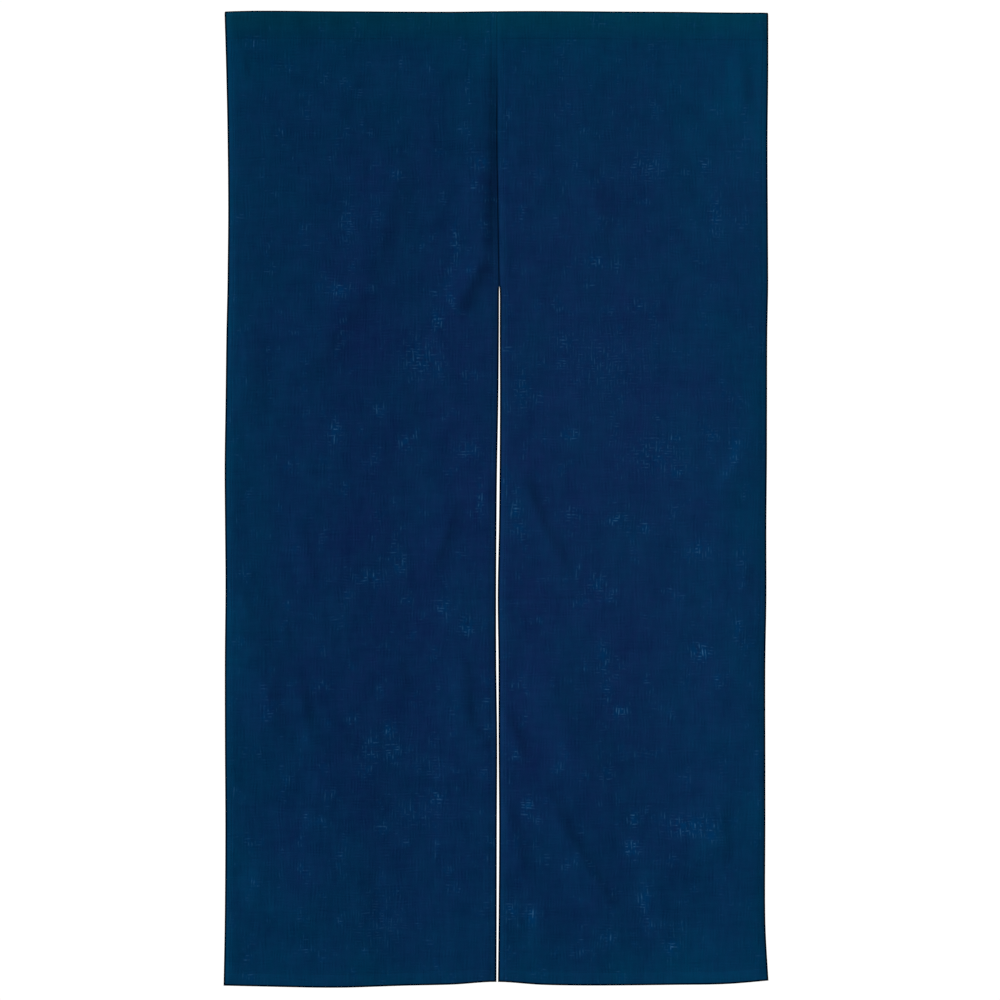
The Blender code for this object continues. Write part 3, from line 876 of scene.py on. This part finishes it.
MATH, RAMP, MIX = "ShaderNodeMath", "ShaderNodeMapRange", "ShaderNodeMix"
NOISE, MAPPING = "ShaderNodeTexNoise", "ShaderNodeMapping"
FIELD, BUMP = "ShaderNodeAttribute", "ShaderNodeBump"
PLUS = {"operation": "ADD"}
MINUS = {"operation": "SUBTRACT"}
TIMES = {"operation": "MULTIPLY"}
LARGER = {"operation": "MAXIMUM"}
TIMES_PLUS = {"operation": "MULTIPLY_ADD"}
COLOURS = {"data_type": "RGBA"}


def new_material(name):
    """A new material, its node tree, and the shader that its nodes feed."""
    material = bpy.data.materials.new(name)
    material.use_nodes = True
    return material, material.node_tree, material.node_tree.nodes["Principled BSDF"]


# Uneven patterns of the weave: width across and height down in metres, and fineness.
# Through the thickness of the cloth they hardly change.
PATTERN = "name width height detail"
WEAVE_NOISES = table(
    PATTERN,
    ("tall_slub", 0.007, 0.034, 1.0),
    ("wide_slub", 0.040, 0.008, 1.0),
    ("cloud", 0.034, 0.045, 2.0),
    ("tint", 0.085, 0.110, 2.0),
    ("small_tint", 0.009, 0.015, 1.0),
    ("down_sway", 0.030, 0.060, 0.0),
    ("across_sway", 0.060, 0.030, 0.0),
    ("down_patch", 0.013, 0.020, 1.0),
    ("across_patch", 0.020, 0.013, 1.0),
    ("scattered", 0.028, 0.034, 2.0),
    ("thinned", 0.009, 0.012, 1.0),
    ("tall_dash", 0.0050, 0.0120, 1.0),
    ("wide_dash", 0.0120, 0.0050, 1.0),
)
WEAVE_DEPTH = 0.12

# The middle value of a pattern, and the shade of plain cloth.
MIDDLE = 0.5

# How much each pattern, and each field of the mesh, adds to the lightness.
SHADE_SHARES = (
    ("warp", 0.05),
    ("weft", 0.05),
    ("tall_slub", 0.28),
    ("wide_slub", 0.22),
    ("cloud", 0.44),
    ("down_bars", 0.24),
    ("across_bars", 0.18),
)
SHADE_FIELDS = (("dye", 1.5), ("hem", 0.22))

# How much of the borders' blue shows everywhere, and what the fields and patterns add.
BORDER_EVERYWHERE = 0.25
BORDER_FIELDS = (("border", 1 - BORDER_EVERYWHERE), ("hem", 0.1))
BORDER_SHARES = (("tint", 0.8), ("small_tint", 0.40))

# The two ways that the yarns run: the axis across them, the ramp that shows their bars in
# patches, the pattern that cuts their dashes, and the ramp that picks groups of dashes, so
# that each small group runs mostly one way. A ramp is given by its two ends.
YARN_WAYS = table(
    "name axis shown dash group",
    ("down", "X", (0.48, 0.64), "tall_dash", (0.47, 0.55)),
    ("across", "Z", (0.52, 0.68), "wide_dash", (0.53, 0.45)),
)

# How far the bars sway, in radians, and the ramps that make dashes of their bright parts.
BAR_SWAY = 14.0
BRIGHT_BAR = (0.40, 0.95)
DASH_ENDS = (0.45, 0.61)

# Thin places: the most and the ramp of the scattered ones, and the ramp that breaks all
# of them up. The cloth between their dashes is darker, their glow of painted light follows
# the warp by a share over a least value, and the dashes show in them strongly and
# elsewhere hardly. The painted shade of the folded edges and the seam covers nearly
# all else.
SCATTERED_MOST = 0.38
SCATTERED = (0.55, 0.70)
BROKEN_UP = (0.30, 0.57)
NO_DASH = (0.5, 0.0)
BETWEEN_DASHES = -0.2
GLOW_BY_WARP = (0.6, 0.5)
DASHES_SHOWN = (0.55, 0.008)
EDGE_SHADE_SHARE = 0.97


def indigo_plain_weave(look):
    """Piece-dyed indigo plain weave of slubby cotton and linen.

    Such cloth is matt, since its short fibres scatter the light. Thick and thin places in
    the yarns show as short light and dark streaks along both threads, the dye settles in
    soft clouds, and where the yarns are thin the light behind comes through in specks,
    which are painted light. The shade of the folded edges and the seam is painted too.
    The real threads are about 0.8 mm apart, which is finer than a point of the render, so
    they are drawn at twice that, and the groups of thick and thin yarns as bars 4.7 mm apart.
    """
    material, tree, shader = new_material("indigo_plain_weave")
    add = partial(add_node, tree)
    place = add("ShaderNodeTexCoord", {}, output="Object")
    pitch, slub = look.thread_pitch, look.slub_length
    threads = table(
        PATTERN,
        ("warp", pitch, slub, 1.0),
        ("weft", slub, pitch, 1.0),
        ("warp_bump", pitch, 3 * pitch, 0.0),
        ("weft_bump", 3 * pitch, pitch, 0.0),
    )
    weave = {}
    for row in (*threads, *WEAVE_NOISES):
        scale = (1 / row.width, 1 / WEAVE_DEPTH, 1 / row.height)
        stretched = add(MAPPING, {"Scale": scale}, place)
        weave[row.name] = add(NOISE, {"Scale": 1.0, "Detail": row.detail}, stretched)
    field = {}
    for name in ("thin", "dye", "hem", "border", "head", "fold"):
        field[name] = add(FIELD, {"attribute_name": name}, output="Fac")

    # Groups of thick and thin yarns: bars that sway a little and show only in patches.
    # The brightest parts of the bars, cut to short lengths, are the dashes of thin places.
    dashes = []
    for way in YARN_WAYS:
        across = add("ShaderNodeSeparateXYZ", {}, place, output=way.axis)
        sway = add(MATH, TIMES, weave[way.name + "_sway"], BAR_SWAY)
        turns = add(MATH, TIMES_PLUS, across, 2 * math.pi / look.bar_pitch, sway)
        wave = add(MATH, {"operation": "SINE"}, turns)
        bars = add(MATH, TIMES_PLUS, wave, MIDDLE, MIDDLE)
        shown = add(RAMP, {}, weave[way.name + "_patch"], *way.shown)
        centred = add(MATH, MINUS, bars, MIDDLE)
        weave[way.name + "_bars"] = add(MATH, TIMES_PLUS, centred, shown, MIDDLE)
        bright = add(RAMP, {}, bars, *BRIGHT_BAR)
        dash = add(MATH, TIMES, bright, add(RAMP, {}, weave[way.dash], *DASH_ENDS))
        dashes.append(add(MATH, TIMES, dash, add(RAMP, {}, weave["small_tint"], *way.group)))
    dashes = add(MATH, LARGER, *dashes)

    # Places where the weave is thin, most of them from the table.
    thin = add(RAMP, {"To Max": SCATTERED_MOST}, weave["scattered"], *SCATTERED)
    thin = add(MATH, LARGER, field["thin"], thin)
    thin = add(MATH, TIMES, thin, add(RAMP, {}, weave["thinned"], *BROKEN_UP))

    shade = MIDDLE
    for name, share in SHADE_SHARES:
        shade = add(MATH, TIMES_PLUS, add(MATH, MINUS, weave[name], MIDDLE), share, shade)
    for name, share in SHADE_FIELDS:
        shade = add(MATH, TIMES_PLUS, field[name], share, shade)
    sunken = add(MATH, TIMES, thin, add(RAMP, {}, dashes, *NO_DASH))
    shade = add(MATH, TIMES_PLUS, sunken, BETWEEN_DASHES, shade)

    border = BORDER_EVERYWHERE
    for name, share in BORDER_FIELDS:
        border = add(MATH, TIMES_PLUS, field[name], share, border)
    for name, share in BORDER_SHARES:
        border = add(MATH, TIMES_PLUS, add(MATH, MINUS, weave[name], MIDDLE), share, border)

    middle = add(MIX, COLOURS, shade, *shades(look.indigo, look.spread))
    edge = add(MIX, COLOURS, shade, *shades(look.border, look.border_spread))
    head = add(MIX, COLOURS, shade, *shades(look.head, look.border_spread))
    colour = add(MIX, COLOURS, border, middle, edge)
    colour = add(MIX, COLOURS, field["head"], colour, head)

    # Painted light from behind: the glow of the thin places and the specks in their gaps.
    glow = add(MATH, TIMES, thin, add(MATH, TIMES_PLUS, weave["warp"], *GLOW_BY_WARP))
    gaps = add(MATH, TIMES, dashes, add(MATH, TIMES_PLUS, thin, *DASHES_SHOWN))
    # Painted shade along the folded edges and the seam.
    shaded = add(MATH, TIMES, field["fold"], EDGE_SHADE_SHARE)
    for share, code in ((glow, look.glow), (gaps, look.speck), (shaded, look.shaded)):
        colour = add(MIX, COLOURS, share, colour, linear_colour(code))
    tree.links.new(colour, shader.inputs["Base Color"])

    height = add(MATH, PLUS, weave["warp_bump"], weave["weft_bump"])
    normal = add(BUMP, {"Strength": 0.12, "Distance": 0.25 * MM, "Height": height})
    tree.links.new(normal, shader.inputs["Normal"])
    shader.inputs["Roughness"].default_value = 0.95
    shader.inputs["IOR"].default_value = 1.5
    shader.inputs["Specular IOR Level"].default_value = 0.0
    return material


# Length of a ply's turn along the thread, and how far it shades to each side.
PLY_LENGTH = 0.0009
PLY_SHADES = (-0.6, 0.8)


def spun_sewing_thread(look):
    """Spun polyester sewing thread dyed to match: two twisted plies, matt like the cloth."""
    material, tree, shader = new_material("spun_sewing_thread")
    add = partial(add_node, tree)
    place = add("ShaderNodeTexCoord", {}, output="Object")
    plies = add(NOISE, {"Scale": 1 / PLY_LENGTH, "Detail": 1.0}, place)
    colour = add(MIX, COLOURS, plies, *shades(look.thread, look.spread, PLY_SHADES))
    tree.links.new(colour, shader.inputs["Base Color"])
    normal = add(BUMP, {"Strength": 0.4, "Distance": 0.1 * MM, "Height": plies})
    tree.links.new(normal, shader.inputs["Normal"])
    shader.inputs["Roughness"].default_value = 0.6
    shader.inputs["Specular IOR Level"].default_value = 0.02
    return material


# Rings along one stitch: how far along it, and how thick and how sunk it is there.
STITCH_RINGS = table(
    "along thick sunk",
    (0.0, 0.35, 1.0),
    (0.16, 0.85, 0.25),
    (0.5, 1.0, 0.0),
    (0.84, 0.85, 0.25),
    (1.0, 0.35, 1.0),
)
STITCH_SIDES = 6
TO_BACK = np.array([0.0, 1.0, 0.0])

# How high a stitch's middle lies over the cloth, in its radii, and the least length that
# a line leaves free at both ends: down the sides, and across.
STITCH_LIFT = 0.7
DOWN_MARGIN = 3.0
ACROSS_MARGIN = 1.5

# The bar tack: how far its first strand lies below the seam's end, the step between its
# strands in threads, their lean, and how far in from the edge its height is measured.
BAR_BELOW = 1.0
BAR_STEP = 0.9
BAR_LEAN = 0.25
BAR_INSET = 2.0


def stitch_points(starts, ends, outward, radius):
    """Points and faces of one small capsule of thread for each start and end."""
    along = ends - starts
    along /= np.linalg.norm(along, axis=1, keepdims=True)
    across = np.cross(along, outward)
    across /= np.linalg.norm(across, axis=1, keepdims=True)
    rings = []
    for ring in STITCH_RINGS:
        centre = starts + (ends - starts) * ring.along
        centre = centre + outward * radius * (STITCH_LIFT - ring.sunk)
        for corner in range(STITCH_SIDES):
            turn = 2 * math.pi * corner / STITCH_SIDES
            side = across * math.cos(turn) + outward * math.sin(turn)
            rings.append(centre + side * radius * ring.thick)
    points = np.stack(rings, axis=1)
    each = len(STITCH_RINGS) * STITCH_SIDES
    faces = []
    for ring in range(len(STITCH_RINGS) - 1):
        for corner in range(STITCH_SIDES):
            following = (corner + 1) % STITCH_SIDES
            low, high = ring * STITCH_SIDES, (ring + 1) * STITCH_SIDES
            faces.append((low + corner, low + following, high + following, high + corner))
    last = each - STITCH_SIDES
    caps = (tuple(range(STITCH_SIDES - 1, -1, -1)), tuple(range(last, each)))
    joined = []
    for index in range(len(starts)):
        joined += [tuple(index * each + corner for corner in face) for face in (*faces, *caps)]
    return points.reshape(-1, 3), joined


def stitch_starts(length, pitch, margin):
    """Distances along a line at which its stitches start."""
    count = int((length - 2 * margin) / pitch)
    return margin + (length - 2 * margin - count * pitch) / 2 + pitch * np.arange(count)


def seam_lines(shape, sewing):
    """(offset, level) of both ends of every stitch in one panel's hems and sleeve."""
    pitch, stitch = sewing.pitch / MM, sewing.stitch / MM
    inset = shape.side_hem - shape.inset
    foot = LONGEST_DROP - shape.foot_hem + shape.inset
    down = stitch_starts(LONGEST_DROP - shape.stitch, pitch, DOWN_MARGIN) + shape.stitch
    for offset in (inset, shape.nominal - inset):
        beside = np.full(down.shape, offset)
        yield beside, down, beside, down + stitch
    across = stitch_starts(shape.nominal, pitch, ACROSS_MARGIN)
    for level in (shape.stitch, foot):
        beside = np.full(across.shape, level)
        yield across, beside, across + stitch, beside


def make_stitches(side, cloth_sizes, sewing):
    """The stitches of one panel's hems and sleeve, on its front and on its back."""
    shape = PanelShape(side, cloth_sizes)
    lines = [np.concatenate(parts) for parts in zip(*seam_lines(shape, sewing))]
    starts = np.stack(shape.front(*lines[:2]), axis=-1)
    ends = np.stack(shape.front(*lines[2:]), axis=-1)
    in_sleeve = (lines[1] == shape.stitch) & (lines[3] == shape.stitch)
    depth = shape.thickness(*lines[:2])
    flap = SOLID_LAYER + FLAP_FOOT + 2 * (depth - shape.layer)
    behind = np.where(in_sleeve, flap, depth)[:, None] * TO_BACK
    outward = np.repeat([-TO_BACK, TO_BACK], len(starts), axis=0)
    starts = np.concatenate([starts, starts + behind])
    ends = np.concatenate([ends, ends + behind])
    made = stitch_points(starts, ends, outward, sewing.thread / MM / 2)
    return new_object("stitches_" + side, *made)


def make_slit_bar(cloth_sizes, sewing):
    """The bar tack that closes the end of the seam, with strands across both edges."""
    shape = PanelShape("left", cloth_sizes)
    strands = sewing.bar_strands
    thread = sewing.thread / MM
    levels = SEAM_END + BAR_BELOW - BAR_STEP * thread * np.arange(strands)
    edge = np.full(strands, shape.nominal)
    y, drop = shape.front(edge - BAR_INSET, levels)[1:]
    seam = shape.edge_x("inner_left", drop)
    half = sewing.bar_width / MM / 2
    lean = BAR_LEAN * np.where(np.arange(strands) % 2, 1, -1)
    starts = np.stack([seam - half, y, drop - lean], axis=-1)
    ends = np.stack([seam + half, y, drop + lean], axis=-1)
    outward = np.broadcast_to(-TO_BACK, starts.shape)
    return new_object("slit_bar", *stitch_points(starts, ends, outward, thread / 2))


def finish_thread(made, context):
    """Gives a piece of sewing its thread and lets it ride with the cloth."""
    made.data.materials.append(spun_sewing_thread(context.scene.noren_weave))
    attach(made, BODY)


class NOREN_OT_cloth(bpy.types.Operator):
    """Make the two hemmed panels with their sleeve"""

    bl_idname = "noren.cloth"
    bl_label = "Cloth panels"

    def execute(self, context):
        weave = indigo_plain_weave(context.scene.noren_weave)
        for side in SIDES:
            made = make_cloth(side, context.scene.noren_cloth)
            paint_fields(made)
            made.data.materials.append(weave)
            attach(made, BODY)
            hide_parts("panel_" + side, "sleeve_" + side)
        return {"FINISHED"}


class NOREN_OT_stitches(bpy.types.Operator):
    """Make the stitches in the hems and along the sleeve"""

    bl_idname = "noren.stitches"
    bl_label = "Hem and sleeve stitches"

    def execute(self, context):
        for side in SIDES:
            made = make_stitches(side, context.scene.noren_cloth, context.scene.noren_sewing)
            finish_thread(made, context)
        return {"FINISHED"}


class NOREN_OT_slit_bar(bpy.types.Operator):
    """Make the bar tack at the top of the slit"""

    bl_idname = "noren.slit_bar"
    bl_label = "Slit bar tack"

    def execute(self, context):
        made = make_slit_bar(context.scene.noren_cloth, context.scene.noren_sewing)
        finish_thread(made, context)
        return {"FINISHED"}


# The stage: where the picture's middle lies on the cloth, where each light comes from and
# how wide it is in degrees, the brightness of the backdrop, and the round floor.
VIEW_X = 0.0059
VIEW_Z = -0.7518
KEY_FROM = (-0.75, -0.54, 0.38)
BACK_FROM = (0.55, 0.83, 0.08)
LIGHT_WIDTH = 25
WHITE = (1, 1, 1, 1)
BACKDROP = 1.05
FLOOR_RADIUS = 2.4
FLOOR_CORNERS = 96


class NOREN_OT_stage(bpy.types.Operator):
    """Make the camera, the lights and the pale floor"""

    bl_idname = "noren.stage"
    bl_label = "Camera, lights and floor"

    def execute(self, context):
        look = context.scene.noren_stage
        scene = context.scene
        camera = bpy.data.cameras.new("photo_camera")
        camera.lens = look.lens
        view = bpy.data.objects.new("photo_camera", camera)
        away = look.picture_width * look.lens / camera.sensor_width
        view.location = (VIEW_X, -away, VIEW_Z)
        view.rotation_euler = (math.radians(90), 0, 0)
        scene.collection.objects.link(view)
        scene.camera = view

        lights = (("key_light", look.key, KEY_FROM), ("back_light", look.back, BACK_FROM))
        for name, strength, towards in lights:
            sun = bpy.data.lights.new(name, "SUN")
            sun.energy = strength
            sun.angle = math.radians(LIGHT_WIDTH)
            made = bpy.data.objects.new(name, sun)
            made.rotation_euler = Vector(towards).to_track_quat("Z", "Y").to_euler()
            scene.collection.objects.link(made)

        world = bpy.data.worlds.new("studio")
        world.use_nodes = True
        tree = world.node_tree
        around = tree.nodes["Background"]
        around.inputs["Color"].default_value = WHITE
        around.inputs["Strength"].default_value = look.surround
        backdrop = {"Color": WHITE, "Strength": BACKDROP}
        white = add_node(tree, "ShaderNodeBackground", backdrop)
        seen = add_node(tree, "ShaderNodeLightPath", {}, output="Is Camera Ray")
        mixed = add_node(tree, "ShaderNodeMixShader", {}, seen, around.outputs[0], white)
        tree.links.new(mixed, tree.nodes["World Output"].inputs["Surface"])
        scene.world = world
        scene.view_settings.view_transform = "Standard"

        foot = CAD_BOX[0][2]
        bpy.ops.mesh.primitive_circle_add(
            vertices=FLOOR_CORNERS, radius=FLOOR_RADIUS, fill_type="NGON",
            location=(0, 0, foot - look.floor_below))
        floor = context.object
        floor.name = "floor"
        paint, _, shader = new_material("pale_floor_paint")
        shader.inputs["Base Color"].default_value = linear_colour("F2F2F0")
        shader.inputs["Roughness"].default_value = 0.8
        floor.data.materials.append(paint)
        return {"FINISHED"}


class NOREN_PT_panel(bpy.types.Panel):
    """Lists the sizes, colours and steps of the noren curtain"""

    bl_label = "Noren curtain"
    bl_space_type = "VIEW_3D"
    bl_region_type = "UI"
    bl_category = "Noren"

    def draw(self, context):
        for group_name in GROUPS:
            group = getattr(context.scene, group_name)
            box = self.layout.box()
            for name in group.__annotations__:
                box.prop(group, name)
        for step in STEPS:
            self.layout.operator(step.bl_idname)


STEPS = (NOREN_OT_cloth, NOREN_OT_stitches, NOREN_OT_slit_bar, NOREN_OT_stage)
GROUPS = {
    "noren_cloth": ClothSizes,
    "noren_sewing": SewingSizes,
    "noren_weave": WeaveLook,
    "noren_stage": StageLook,
}


def register():
    for made in (*GROUPS.values(), *STEPS, NOREN_PT_panel):
        bpy.utils.register_class(made)
    for name, group in GROUPS.items():
        setattr(bpy.types.Scene, name, PointerProperty(type=group))


def unregister():
    for name in GROUPS:
        delattr(bpy.types.Scene, name)
    for made in (NOREN_PT_panel, *reversed(STEPS), *GROUPS.values()):
        bpy.utils.unregister_class(made)


def main():
    register()
    bpy.ops.noren.cloth()
    bpy.ops.noren.stitches()
    bpy.ops.noren.slit_bar()
    bpy.ops.noren.stage()


if __name__ == "__main__":
    main()
